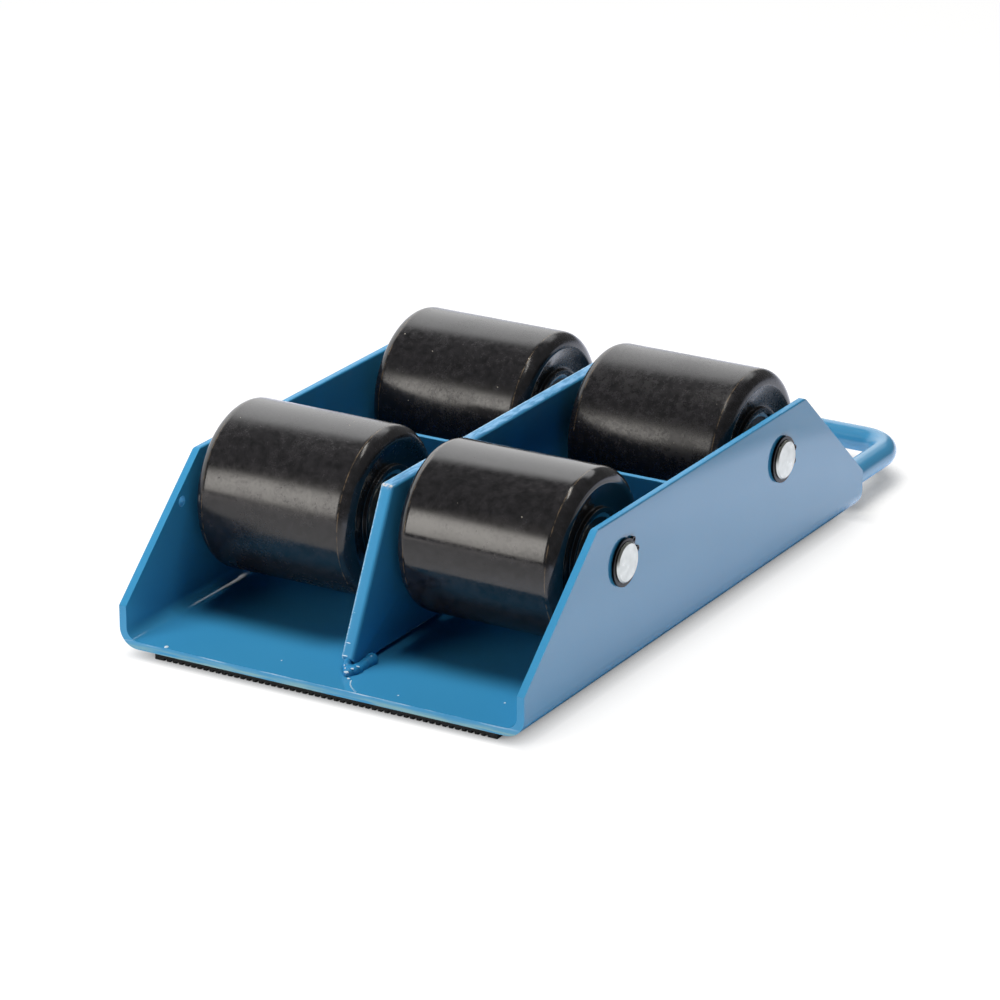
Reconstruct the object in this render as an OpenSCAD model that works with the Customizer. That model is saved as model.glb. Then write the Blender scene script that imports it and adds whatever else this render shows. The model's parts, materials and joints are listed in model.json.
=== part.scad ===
// Machine skate with four rollers, lying on its load pad with the rollers up.
// In use it is turned over: the rollers stand on the floor and the load rests on the pad.
// +X runs along the axles to the right, +Y along the skate to the tow handle, +Z up.
// The origin is the middle of the pad's load face.

/* [Rollers] */
// Diameter of a roller
roller_d = 85; // [76:1:92]
// Length of a roller
roller_l = 88.4; // [80:0.2:100]
// Radius of the rounded shoulders of a roller
shoulder_r = 7; // [4:0.5:9]
// Depth of the dished end faces
dish_depth = 3; // [2:0.5:5]
// Flat rim between a shoulder and the dish
dish_rim = 0.5; // [0.5:0.5:4]
// Wall of the hub lip round a bearing
hub_lip_t = 2.7; // [2:0.1:4]
// How far the hub lip stays below the end of the roller
hub_lip_drop = 0.4; // [0.2:0.1:1]
// Clearance between a roller and the floor of the channel
roller_floor_gap = 10.2; // [8:0.2:20]
// Distance between the two axles
wheelbase = 162; // [148:1:190]

/* [Side gaps] */
// Gap between the left rollers and the left flange
left_outer_gap = 5.2; // [3:0.1:12]
// Gap between the left rollers and the divider
left_inner_gap = 14.5; // [3:0.1:18]
// Gap between the right rollers and the divider
right_inner_gap = 4.6; // [3:0.1:14]
// Gap between the right rollers and the right flange
right_outer_gap = 8.9; // [3:0.1:14]

/* [Channel plate] */
// Thickness of the folded sheet
sheet_t = 4; // [3:0.5:6]
// Inner radius of the two folds
fold_r = 6; // [3:0.5:8]
// Length of the channel plate
channel_l = 347; // [320:1:400]
// Height of a flange's top edge above the middle of the axles
flange_over_axle = 24.3; // [18:0.1:30]
// Length of a flange's top edge beyond each axle
flange_past_axle = 24.5; // [18:0.5:34]
// How much further forward the left flange's top edge runs than the right one's
left_flange_ahead = 2; // [0:0.5:4]
// Height of the upright at each end of a flange, above the floor of the channel
flange_end_h = 17; // [14:0.5:30]
// Diameter of the hanging hole in the left flange
hang_hole_d = 5.5; // [4:0.5:8]
// Distance of the hanging hole in front of the front axle
hang_hole_ahead = 43; // [38:0.5:48]
// Height of the hanging hole above the middle of the axles
hang_hole_over = 2; // [-6:0.5:3]

/* [Divider plate] */
// Thickness of the divider plate
divider_t = 6.5; // [5:0.5:10]
// Distance from the ends of the channel plate to where the divider's sloping edges would meet the floor
divider_setback = 18.5; // [15:0.5:40]
// How much higher the divider stands than the flanges
divider_over = 4.4; // [0:0.1:6]
// How much further each end of the divider's top edge runs than that of the right flange
divider_ahead = 9.3; // [0:0.1:12]
// Height of the corners that are cut off the divider's feet for the tack welds
snipe_h = 6; // [4:0.5:8]
// Length of those corners along the floor
snipe_l = 4; // [3:0.5:6]
// Gap left under the divider between its tack welds
divider_gap = 0.8; // [0.4:0.1:0.9]

/* [Cross plates] */
// Thickness of the cross plates
cross_t = 3; // [2:0.5:6]
// Height of the left cross plate above the floor of the channel
left_cross_h = 61; // [40:0.5:68]
// Height of the right cross plate above the floor of the channel
right_cross_h = 62.5; // [40:0.5:68]
// Clearance of a cross plate's lower corner from the fold
cross_corner_gap = 1; // [0.5:0.5:4]

/* [Tow handle] */
// Diameter of the round bar
bar_d = 13.5; // [10:0.5:15]
// Radius of the bends, to the middle of the bar
bar_bend_r = 18; // [16:1:30]
// Distance of a handle leg's middle from the start of the fold
handle_inset = 4.5; // [3.5:0.1:8]
// Distance from the rear axle to the ends of the legs
handle_start = 32; // [30:1:45]
// Reach of the handle beyond the end of the channel plate
handle_reach = 75; // [50:1:120]

/* [Pad] */
// Thickness of the rubber pad, ribs included
pad_t = 5; // [4:0.5:8]
// Distance from a fold to the side of the pad
pad_side_margin = 7; // [6:0.5:20]
// Distance from the end of the channel plate to the end of the pad
pad_end_margin = 4.5; // [3:0.5:20]
// Spacing of the fine ribs under the pad
rib_pitch = 3.5; // [3:0.5:6]
// Width of a groove between two ribs
groove_w = 1.4; // [0.8:0.1:2]
// Depth of a groove
groove_depth = 1.2; // [0.6:0.1:2]

/* [Axles and circlips] */
// Diameter of an axle
axle_d = 20; // [18:0.5:22]
// Diametral clearance of an axle in the plates
axle_fit = 0.12; // [0.06:0.02:0.18]
// Length of an axle beyond each flange
axle_overhang = 2.8; // [2.6:0.1:5]
// Chamfer on the axle ends
axle_chamfer = 0.8; // [0.4:0.1:1]
// Thickness of a circlip
clip_t = 1.2; // [1:0.1:1.5]
// Play between a circlip and its flange
clip_play = 0.3; // [0.2:0.1:0.4]
// Depth of the circlip groove
clip_groove = 0.5; // [0.3:0.1:0.8]
// Clearance of a circlip on each side in its groove
clip_slack = 0.05; // [0.02:0.01:0.1]
// Width of a circlip opposite its gap
clip_w = 2.7; // [2.2:0.1:3.2]
// How much narrower a circlip is beside its gap
clip_taper = 0.8; // [0:0.1:1.2]
// Gap in a circlip
clip_opening = 3.2; // [2.4:0.1:4]
// Diameter of a circlip's lugs
lug_d = 3.2; // [3:0.1:4.6]
// Diameter of the plier holes in the lugs
lug_hole_d = 1.4; // [1.2:0.1:1.6]
// Angle between the middle of the gap and a lug
lug_angle = 17; // [16:1:24]

/* [Bearings] */
// Outer diameter of a ball bearing
bearing_d = 42; // [40:0.5:44]
// Width of a ball bearing
bearing_w = 12; // [11:0.5:14]
// Depth of a bearing below the hub lip
bearing_recess = 1.5; // [1:0.1:3]
// Diameter of a ball
ball_d = 6.35; // [5.5:0.05:6.5]
// Distance from the ball circle to the shoulders of the rings
land_gap = 2.15; // [2:0.05:2.4]
// Number of balls in a bearing
ball_count = 9; // [7:1:10]
// Diametral clearance of the balls in their grooves
ball_fit = 0.4; // [0.3:0.05:0.6]
// Thickness of a cage
cage_t = 2.4; // [1.6:0.1:2.8]
// Width of a cage beyond its ball pockets
cage_edge = 0.8; // [0.5:0.1:1]
// Thickness of a seal
seal_t = 0.8; // [0.5:0.1:0.8]
// How far a seal reaches into the outer ring
seal_seat = 1.2; // [0.8:0.1:1.6]
// How far a seal lies below the faces of the rings
seal_inset = 0.2; // [0.1:0.05:0.3]
// Clearance between the seals and the inner ring
seal_gap = 0.3; // [0.2:0.05:0.5]
// Wall of the spacer tube between the two bearings of a roller
spacer_t = 3; // [2:0.5:3.5]
// Clearance of sleeves and inner rings on the axle
sleeve_fit = 0.04; // [0.02:0.01:0.1]
// End play between the side bushes and the plates
bush_play = 0.3; // [0.2:0.1:0.5]

/* [Welds] */
// Radius of the tack weld beads at the divider's feet
tack_r = 4.2; // [3:0.2:5]
// Length of a tack bead along the side of the divider
tack_l = 12.5; // [6:0.5:20]
// Distance of a tack bead's end from the left face of the divider
tack_inset = 4; // [0:0.5:5]
// Distance of a tack bead's middle from where the divider's slope meets the floor
tack_back = 3.5; // [2.5:0.5:4]
// Leg length of the small fillet welds
fillet_leg = 3; // [2:0.5:4]
// Length of a fillet weld at a cross plate
cross_weld_l = 24; // [12:1:36]
// Distance of a handle weld from the line on which the bar lies
weld_root = 1; // [0.5:0.1:1.5]

/* [Hidden] */
$fn = 96;
STEEL_BLUE = "#3A86BC";
RUBBER_BLACK = "#1E1F20";
NYLON_BLACK = "#232325";
ZINC = "#D2D5D4";
SPRING_STEEL = "#3A3532";
BEARING_STEEL = "#B4B7BA";
CAGE_TONE = "#8A7F66";

ENDS = [["front", -1], ["rear", 1]];
SIDES = [["left", -1], ["right", 1]];
// Angle of the gap of each circlip about its axle, from +Y towards +Z
CLIP_TURNS = [["front_left", 200], ["front_right", 33], ["rear_left", 75], ["rear_right", -4]];
ROLLER_PIECES = [
    "roller", "outer_rings", "inner_rings", "balls", "ball_cages", "seals", "spacer_tube", "side_bushes"
];

// Reach of shapes that are cut off elsewhere, and how far a cut runs past a face
far = 1000;
cut = 1;
half_l = channel_l / 2;
roller_r = roller_d / 2;
roller_half = roller_l / 2;
axle_r = axle_d / 2;
bar_r = bar_d / 2;
bearing_r = bearing_d / 2;

// Channel cross-section: two bays for the rollers, a divider between them
left_bay_w = left_outer_gap + roller_l + left_inner_gap;
right_bay_w = right_outer_gap + roller_l + right_inner_gap;
channel_w = 2 * sheet_t + divider_t + left_bay_w + right_bay_w;
inner_half_w = channel_w / 2 - sheet_t;
flat_half_w = inner_half_w - fold_r;
divider_x = -inner_half_w + left_bay_w + divider_t / 2;
divider_left = divider_x - divider_t / 2;
divider_right = divider_x + divider_t / 2;
left_roller_x = -inner_half_w + left_outer_gap + roller_half;
right_roller_x = inner_half_w - right_outer_gap - roller_half;

// Heights
base_z = pad_t;
floor_z = base_z + sheet_t;
axle_z = floor_z + roller_floor_gap + roller_r;
flange_z = axle_z + flange_over_axle;
flange_end_z = floor_z + flange_end_h;
divider_z = flange_z + divider_over;
bar_z = floor_z + bar_r;

// Places along the skate
axle_y = wheelbase / 2;
flange_top_half = axle_y + flange_past_axle;
divider_foot_half = half_l - divider_setback;
divider_top_half = flange_top_half + divider_ahead;
snipe_y = divider_foot_half - snipe_h * (divider_foot_half - divider_top_half) / (divider_z - floor_z);
handle_x = flat_half_w - handle_inset;
handle_inner_y = axle_y + handle_start;
handle_cross_y = half_l + handle_reach - bar_r;

// Bearing places, measured from the middle of a roller
lip_end = roller_half - hub_lip_drop;
bearing_outer = lip_end - bearing_recess;
bearing_mid = bearing_outer - bearing_w / 2;
bearing_inner = bearing_outer - bearing_w;
ring_bore_r = axle_r + sleeve_fit;
pitch_r = (axle_r + bearing_r) / 2;
groove_r = (ball_d + ball_fit) / 2;
inner_land_r = pitch_r - land_gap;
outer_land_r = pitch_r + land_gap;
seal_seat_r = outer_land_r + seal_seat;
bore_r = outer_land_r;
bush_r = inner_land_r;
clip_x = channel_w / 2 + clip_play;
axle_half = channel_w / 2 + axle_overhang;
clip_seat_r = axle_r - clip_groove;

// Lays a shape drawn round the Z axis along the X axis
module along_x() { rotate([0, 90, 0]) children(); }

// Extrudes a (y, z) outline along X between two places
module outline_yz(x0, x1) {
    translate([x0, 0, 0]) rotate([90, 0, 90]) linear_extrude(x1 - x0) children();
}

// Tall rectangle standing on bottom, with its two lower corners rounded
module folded_outline(half_w, bottom, r) {
    difference() {
        translate([-half_w, bottom]) square([2 * half_w, far]);
        for (s = [-1, 1]) corner_cut(s * half_w, bottom, -s, 1, r);
    }
}

// What a round of radius r takes off a square corner; sx and sy point into the shape
module corner_cut(x, y, sx, sy, r) {
    translate([x, y]) scale([sx, sy]) difference() {
        translate([-cut, -cut]) square([r + cut, r + cut]);
        translate([r, r]) circle(r);
    }
}

// Side view of a flange; ahead moves the front end of its top edge forward
module flange_outline(ahead) {
    polygon([
        [-half_l, base_z - cut], [half_l, base_z - cut], [half_l, flange_end_z],
        [flange_top_half, flange_z], [-flange_top_half - ahead, flange_z], [-half_l, flange_end_z]
    ]);
}

module axle_holes(x0, x1) {
    for (s = [-1, 1]) translate([x0, s * axle_y, axle_z])
        along_x() cylinder(d = axle_d + axle_fit, h = x1 - x0);
}

module channel_plate() {
    color(STEEL_BLUE) difference() {
        intersection() {
            rotate([90, 0, 0]) translate([0, 0, -half_l]) linear_extrude(channel_l) difference() {
                folded_outline(channel_w / 2, base_z, fold_r + sheet_t);
                folded_outline(inner_half_w, floor_z, fold_r);
            }
            union() {
                outline_yz(-channel_w / 2 - cut, flat_half_w) flange_outline(left_flange_ahead);
                outline_yz(-flat_half_w, channel_w / 2 + cut) flange_outline(0);
            }
        }
        axle_holes(-channel_w, channel_w);
        translate([-channel_w / 2 - cut, -axle_y - hang_hole_ahead, axle_z + hang_hole_over])
            along_x() cylinder(d = hang_hole_d, h = sheet_t + 2 * cut);
    }
}

// Side view of the divider; its slopes end at the corners cut off for the welds
module divider_outline() {
    polygon([for (e = [-1, 1], point = [
        [divider_top_half, divider_z], [snipe_y, floor_z + snipe_h], [snipe_y - snipe_l, floor_z + divider_gap]
    ]) [e * point[0], point[1]]], [[0, 1, 2, 5, 4, 3]]);
}

module divider_plate() {
    color(STEEL_BLUE) difference() {
        outline_yz(divider_left, divider_right) divider_outline();
        axle_holes(divider_left - cut, divider_right + cut);
    }
}

// A cross plate spans its bay; its lower outer corner is cut clear of the fold
module cross_plate(inner_x, outer_x, h) {
    s = sign(outer_x - inner_x);
    corner = fold_r + cross_corner_gap;
    color(STEEL_BLUE) translate([0, cross_t / 2, 0]) rotate([90, 0, 0]) linear_extrude(cross_t) polygon([
        [inner_x, floor_z], [outer_x - s * corner, floor_z], [outer_x, floor_z + corner],
        [outer_x, floor_z + h], [inner_x, floor_z + h]
    ]);
}

module left_cross_plate() { cross_plate(divider_left, -inner_half_w, left_cross_h); }
module right_cross_plate() { cross_plate(divider_right, inner_half_w, right_cross_h); }

// One leg and one bend of the handle, on the side s
module handle_side(s) {
    bend_y = handle_cross_y - bar_bend_r;
    translate([s * handle_x, handle_inner_y, bar_z]) rotate([-90, 0, 0])
        cylinder(r = bar_r, h = bend_y - handle_inner_y);
    translate([s * (handle_x - bar_bend_r), bend_y, bar_z]) rotate([0, 0, s > 0 ? 0 : 90])
        rotate_extrude(angle = 90) translate([bar_bend_r, 0]) circle(bar_r);
}

module tow_handle() {
    straight = handle_x - bar_bend_r;
    color(STEEL_BLUE) {
        for (s = [-1, 1]) handle_side(s);
        translate([-straight, handle_cross_y, bar_z]) along_x() cylinder(r = bar_r, h = 2 * straight);
    }
}

// Flat sheet with fine ribs along Y, one rib in the middle of the load face
module rubber_pad() {
    half_w = flat_half_w - pad_side_margin;
    pad_half_l = half_l - pad_end_margin;
    side_grooves = floor((half_w - groove_w) / rib_pitch);
    edges = [for (k = [-side_grooves : side_grooves - 1]) (k + 0.5) * rib_pitch];
    g = groove_w / 2;
    comb = [for (x = edges) each [
        [x - g, 0], [x - g, groove_depth], [x + g, groove_depth], [x + g, 0]
    ]];
    outline = concat([[-half_w, pad_t], [-half_w, 0]], comb, [[half_w, 0], [half_w, pad_t]]);
    color(RUBBER_BLACK) translate([0, pad_half_l, 0]) rotate([90, 0, 0])
        linear_extrude(2 * pad_half_l) polygon(outline);
}

// The tack at the divider's front foot: a round-topped bead that wraps its end and the side facing the bay
module divider_front_weld() {
    end_y = tack_back - divider_foot_half;
    start_x = divider_left + tack_inset;
    color(STEEL_BLUE) difference() {
        union() {
            translate([start_x, end_y, floor_z]) sphere(tack_r);
            translate([start_x, end_y, floor_z]) along_x() cylinder(r = tack_r, h = divider_right - start_x);
            translate([divider_right, end_y, floor_z]) sphere(tack_r);
            translate([divider_right, end_y, floor_z]) rotate([-90, 0, 0]) cylinder(r = tack_r, h = tack_l);
            translate([divider_right, end_y + tack_l, floor_z]) sphere(tack_r);
        }
        translate([-far / 2, -far / 2, floor_z - far]) cube([far, far, far]);
        outline_yz(divider_left, divider_right) divider_outline();
    }
}

module divider_rear_weld() { scale([1, -1, 1]) divider_front_weld(); }

// Three-cornered fillet between the floor and a wall at x or y, drawn as a prism
module fillet_prism(l) {
    linear_extrude(l) polygon([[0, 0], [fillet_leg, 0], [0, fillet_leg]]);
}

// Fillets on both faces of the cross plates: one on the floor and two up the side walls
module cross_plate_welds() {
    color(STEEL_BLUE) for (s = [-1, 1], f = [-1, 1]) scale([s, f, 1]) {
        wall_x = s < 0 ? -divider_left : divider_right;
        plate_h = s < 0 ? left_cross_h : right_cross_h;
        weld_z = floor_z + (plate_h - cross_weld_l) / 2;
        translate([(wall_x + inner_half_w - cross_weld_l) / 2, cross_t / 2, floor_z])
            rotate([90, 0, 90]) fillet_prism(cross_weld_l);
        translate([wall_x, cross_t / 2, weld_z]) fillet_prism(cross_weld_l);
        translate([inner_half_w, cross_t / 2, weld_z]) scale([-1, 1, 1]) fillet_prism(cross_weld_l);
    }
}

// Cross-section of a weld between the bar and the floor, on one side of the bar
module handle_weld_outline(reach) {
    difference() {
        polygon([[weld_root, 0], [reach, 0], [weld_root, reach - weld_root]]);
        translate([0, bar_r]) circle(bar_r);
    }
}

// Welds on both sides of each handle leg, the outer one as wide as the flat of the floor allows
module handle_welds() {
    weld_l = half_l - handle_inner_y - 2 * fillet_leg;
    full_reach = bar_r + fillet_leg / 2;
    color(STEEL_BLUE) for (s = [-1, 1], side = [[-1, full_reach], [1, min(full_reach, handle_inset)]])
        translate([s * handle_x, half_l - fillet_leg, floor_z]) scale([s * side[0], 1, 1])
            rotate([90, 0, 0]) linear_extrude(weld_l) handle_weld_outline(side[1]);
}

// An axle is two equal halves, each with a groove for its circlip and a chamfered end
module axle(e) {
    groove_start = clip_x - clip_slack;
    groove_end = clip_x + clip_t + clip_slack;
    outline = [
        [0, 0], [axle_half, 0], [axle_half, axle_r - axle_chamfer], [axle_half - axle_chamfer, axle_r],
        [groove_end, axle_r], [groove_end, clip_seat_r], [groove_start, clip_seat_r], [groove_start, axle_r],
        [0, axle_r]
    ];
    color(ZINC) translate([0, e * axle_y, axle_z]) for (s = [-1, 1])
        rotate([0, s * 90, 0]) rotate_extrude() polygon([for (p = outline) [p[1], p[0]]]);
}

// Two equal circles, one on each side of a circlip's gap
module lug_circles(d) {
    for (a = [-lug_angle, lug_angle]) rotate(a) translate([axle_r + lug_d / 2, 0]) circle(d = d);
}

// External ring, narrower beside its gap, with a lug and a plier hole on each side of the gap
module circlip(e, s, turn) {
    shift = clip_taper / 2;
    color(SPRING_STEEL) translate([s * clip_x, e * axle_y, axle_z]) rotate([0, 0, s > 0 ? 0 : 180])
        outline_yz(0, clip_t) rotate(s > 0 ? turn : 180 - turn) difference() {
            union() {
                translate([-shift, 0]) circle(clip_seat_r + clip_w - shift);
                lug_circles(lug_d);
            }
            circle(clip_seat_r + sleeve_fit);
            translate([0, -clip_opening / 2]) square([far, clip_opening]);
            lug_circles(lug_hole_d);
        }
}

// Half outline of a roller as (radius, place along the axle)
module roller_outline() {
    dish_r = roller_r - shoulder_r - dish_rim;
    lip_r = bearing_r + hub_lip_t;
    difference() {
        translate([bore_r, -roller_half]) square([roller_r - bore_r, roller_l]);
        for (s = [-1, 1]) {
            corner_cut(roller_r, s * roller_half, -1, -s, shoulder_r);
            polygon([
                [dish_r, s * (roller_half + cut)], [dish_r, s * roller_half],
                [lip_r, s * (roller_half - dish_depth)], [lip_r, s * lip_end],
                [0, s * lip_end], [0, s * (roller_half + cut)]
            ]);
            translate([0, s > 0 ? bearing_inner : -far - bearing_inner])
                square([bearing_r + sleeve_fit, far]);
        }
    }
}

module on_axle(e, x) { translate([x, e * axle_y, axle_z]) along_x() children(); }

module roller(e, x) { color(NYLON_BLACK) on_axle(e, x) rotate_extrude() roller_outline(); }

// Both bearings of a roller, mirrored about its middle
module both_bearings() { for (s = [-1, 1]) scale([1, 1, s]) translate([0, 0, bearing_mid]) children(); }

module outer_rings(e, x) {
    seat_depth = bearing_w / 2 - seal_t - seal_inset - sleeve_fit;
    color(BEARING_STEEL) on_axle(e, x) both_bearings() rotate_extrude() difference() {
        translate([outer_land_r, -bearing_w / 2]) square([bearing_r - outer_land_r, bearing_w]);
        translate([pitch_r, 0]) circle(groove_r);
        for (s = [-1, 1]) translate([0, s > 0 ? seat_depth : -far - seat_depth]) square([seal_seat_r, far]);
    }
}

module inner_rings(e, x) {
    color(BEARING_STEEL) on_axle(e, x) both_bearings() rotate_extrude() difference() {
        translate([ring_bore_r, -bearing_w / 2]) square([inner_land_r - ring_bore_r, bearing_w]);
        translate([pitch_r, 0]) circle(groove_r);
    }
}

module ball_ring(r) {
    for (k = [0 : ball_count - 1]) rotate(k * 360 / ball_count) translate([pitch_r, 0, 0]) sphere(r);
}

module balls(e, x) { color(BEARING_STEEL) on_axle(e, x) both_bearings() ball_ring(ball_d / 2); }

// A cage is a ring between the lands with a drilled pocket for each ball
module ball_cages(e, x) {
    cage_half = groove_r + cage_edge;
    color(CAGE_TONE) on_axle(e, x) both_bearings() difference() {
        rotate_extrude() translate([pitch_r - cage_t / 2, -cage_half]) square([cage_t, 2 * cage_half]);
        for (k = [0 : ball_count - 1]) rotate(k * 360 / ball_count) translate([pitch_r - cage_t, 0, 0])
            along_x() cylinder(r = groove_r, h = 2 * cage_t);
    }
}

module seals(e, x) {
    inner_r = inner_land_r + seal_gap;
    seal_x = bearing_w / 2 - seal_inset;
    color(RUBBER_BLACK) on_axle(e, x) both_bearings() rotate_extrude() for (x0 = [seal_x - seal_t, -seal_x])
        translate([inner_r, x0]) square([seal_seat_r - sleeve_fit - inner_r, seal_t]);
}

module spacer_tube(e, x) {
    half = bearing_inner - sleeve_fit;
    color(ZINC) on_axle(e, x) rotate_extrude() translate([ring_bore_r, -half]) square([spacer_t, 2 * half]);
}

// Bushes between the bearings and the plates on both sides of a roller
module side_bushes(e, x, left_wall, right_wall) {
    color(ZINC) translate([0, e * axle_y, axle_z]) along_x() rotate_extrude()
        for (gap = [[left_wall + bush_play, x - bearing_outer - sleeve_fit],
                    [x + bearing_outer + sleeve_fit, right_wall - bush_play]])
            translate([ring_bore_r, gap[0]]) square([bush_r - ring_bore_r, gap[1] - gap[0]]);
}

channel_plate();
divider_plate();
left_cross_plate();
right_cross_plate();
tow_handle();
rubber_pad();
divider_front_weld();
divider_rear_weld();
cross_plate_welds();
handle_welds();

// Everything that repeats at the two axles, then at the four rollers
for (end = ENDS) {
    e = end[1];
    axle(e);
    for (side = SIDES) {
        name = str(end[0], "_", side[0]);
        s = side[1];
        x = s < 0 ? left_roller_x : right_roller_x;
        left_wall = s < 0 ? -inner_half_w : divider_right;
        right_wall = s < 0 ? divider_left : inner_half_w;
        turn = CLIP_TURNS[search([name], CLIP_TURNS)[0]][1];
        circlip(e, s, turn);
        roller(e, x);
        outer_rings(e, x);
        inner_rings(e, x);
        balls(e, x);
        ball_cages(e, x);
        seals(e, x);
        spacer_tube(e, x);
        side_bushes(e, x, left_wall, right_wall);
    }
}
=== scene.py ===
import json
import math
import random

import bmesh
import bpy
from mathutils import Matrix, Vector

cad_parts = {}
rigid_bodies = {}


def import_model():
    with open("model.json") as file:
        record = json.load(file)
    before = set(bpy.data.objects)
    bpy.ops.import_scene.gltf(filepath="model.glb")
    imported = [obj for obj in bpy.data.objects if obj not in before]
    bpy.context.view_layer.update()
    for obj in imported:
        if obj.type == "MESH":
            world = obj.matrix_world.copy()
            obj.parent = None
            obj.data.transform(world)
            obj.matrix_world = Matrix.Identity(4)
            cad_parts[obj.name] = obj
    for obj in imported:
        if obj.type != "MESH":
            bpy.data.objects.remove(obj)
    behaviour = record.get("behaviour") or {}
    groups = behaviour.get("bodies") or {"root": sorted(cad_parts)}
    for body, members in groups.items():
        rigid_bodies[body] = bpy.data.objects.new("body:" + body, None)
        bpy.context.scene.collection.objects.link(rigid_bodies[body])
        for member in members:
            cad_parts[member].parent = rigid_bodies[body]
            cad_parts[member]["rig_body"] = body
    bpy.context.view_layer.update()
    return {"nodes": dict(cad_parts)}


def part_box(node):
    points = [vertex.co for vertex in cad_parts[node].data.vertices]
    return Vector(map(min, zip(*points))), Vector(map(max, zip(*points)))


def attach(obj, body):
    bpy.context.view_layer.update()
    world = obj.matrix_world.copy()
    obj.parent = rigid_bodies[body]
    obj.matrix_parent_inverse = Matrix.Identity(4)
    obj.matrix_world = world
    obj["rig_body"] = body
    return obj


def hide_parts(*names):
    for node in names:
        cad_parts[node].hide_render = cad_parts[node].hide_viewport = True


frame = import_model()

# Machine skate lying on its load pad: blue enamelled folded steel, black nylon rollers, zinc plated axles
mm = 0.001
scene = bpy.context.scene
scene.view_settings.view_transform = "Standard"
random.seed(7)
rollerNames = ["front_left", "front_right", "rear_left", "rear_right"]


def linearColour(hexText):  # sRGB hex to the linear values that shaders use
    channels = [int(hexText[i:i + 2], 16) / 255 for i in (1, 3, 5)]
    return tuple(c / 12.92 if c <= 0.04045 else ((c + 0.055) / 1.055) ** 2.4 for c in channels) + (1.0,)


def addNode(tree, kind, inputs=(), **settings):
    # inputs go by place or by name: a value, a hex colour, an output, or a node for its first output
    node = tree.nodes.new("ShaderNode" + kind)
    for key, value in settings.items():
        if key == "stops":
            elements = node.color_ramp.elements
            elements.remove(elements[-1])
            for number, (place, level) in enumerate(value):
                stop = elements[0] if number == 0 else elements.new(place)
                stop.position = place
                stop.color = (level, level, level, 1.0)
        else:
            setattr(node, key, value)
    for key, value in inputs.items() if isinstance(inputs, dict) else enumerate(inputs):
        if isinstance(value, bpy.types.Node):
            value = value.outputs[0]
        if isinstance(value, bpy.types.NodeSocket):
            tree.links.new(value, node.inputs[key])
        else:
            node.inputs[key].default_value = linearColour(value) if isinstance(value, str) else value
    return node


def newMaterial(name):
    material = bpy.data.materials.new(name)
    material.use_nodes = True
    tree = material.node_tree
    tree.nodes.clear()
    return material, tree, addNode(tree, "TexCoord").outputs["Object"]


def coverWith(material, inputs):
    surface = addNode(material.node_tree, "BsdfPrincipled", inputs)
    addNode(material.node_tree, "OutputMaterial", (surface,))
    return material


# Camera at the photograph's angle, fitted to the skate's edges
cameraLook = {
    "azimuth": 30.447,
    "elevation": 20.701,
    "distance": 2.3726,
    "lens": 172.5,
    "aim": (-0.00105, -0.00267, 0.04538),
}


def makeCamera(look):
    data = bpy.data.cameras.new("camera")
    data.lens = look["lens"]
    camera = bpy.data.objects.new("camera", data)
    scene.collection.objects.link(camera)
    turn = math.radians(look["azimuth"])
    rise = math.radians(look["elevation"])
    back = Vector((math.sin(turn) * math.cos(rise), -math.cos(turn) * math.cos(rise), math.sin(rise)))
    camera.location = Vector(look["aim"]) + back * look["distance"]
    camera.rotation_euler = (-back).to_track_quat("-Z", "Y").to_euler()
    scene.camera = camera


# Soft boxes overhead and in front to the left; of these lamps gloss shows the narrow glint alone
lampLook = {
    "target": (0, 0, 0.05),
    "overTone": "#FFFCF5",
    "over": {"power": 16.6, "size": (0.55, 1.05), "place": (-0.25, 0.03, 1.55)},
    "strip": {"power": 1.2, "size": (0.08, 0.26), "place": (-0.05, -0.03, 0.6)},
    "glint": {"power": 0.42, "size": (0.06, 0.26), "place": (0.04, -0.03, 0.6)},
    "frontTone": "#FFF7EF",
    "front": {"power": 11.0, "size": (0.75, 0.7)},
    "frontTurn": -31,
    "frontRise": 15,
    "frontDistance": 1.6,
}
frontTurn = math.radians(lampLook["frontTurn"])
frontRise = math.radians(lampLook["frontRise"])
frontWay = Vector((math.sin(frontTurn), -math.cos(frontTurn), 0))


def makePanel(name, look, place, tone, mirrored):
    data = bpy.data.lights.new(name, "AREA")
    data.shape = "RECTANGLE"
    data.size, data.size_y = look["size"]
    data.energy = look["power"]
    data.color = linearColour(tone)[:3]
    lamp = bpy.data.objects.new(name, data)
    scene.collection.objects.link(lamp)
    lamp.location = place
    lamp.rotation_euler = (Vector(lampLook["target"]) - Vector(place)).to_track_quat("-Z", "Y").to_euler()
    lamp.visible_glossy = mirrored
    lamp.visible_camera = False


def makeLamps(look):
    for name, key in (("overheadSoftBox", "over"), ("overheadStrip", "strip"), ("overheadGlint", "glint")):
        makePanel(name, look[key], look[key]["place"], look["overTone"], key == "glint")
    place = (frontWay * math.cos(frontRise) + Vector((0, 0, math.sin(frontRise)))) * look["frontDistance"]
    makePanel("frontSoftBox", look["front"], place, look["frontTone"], False)


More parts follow.
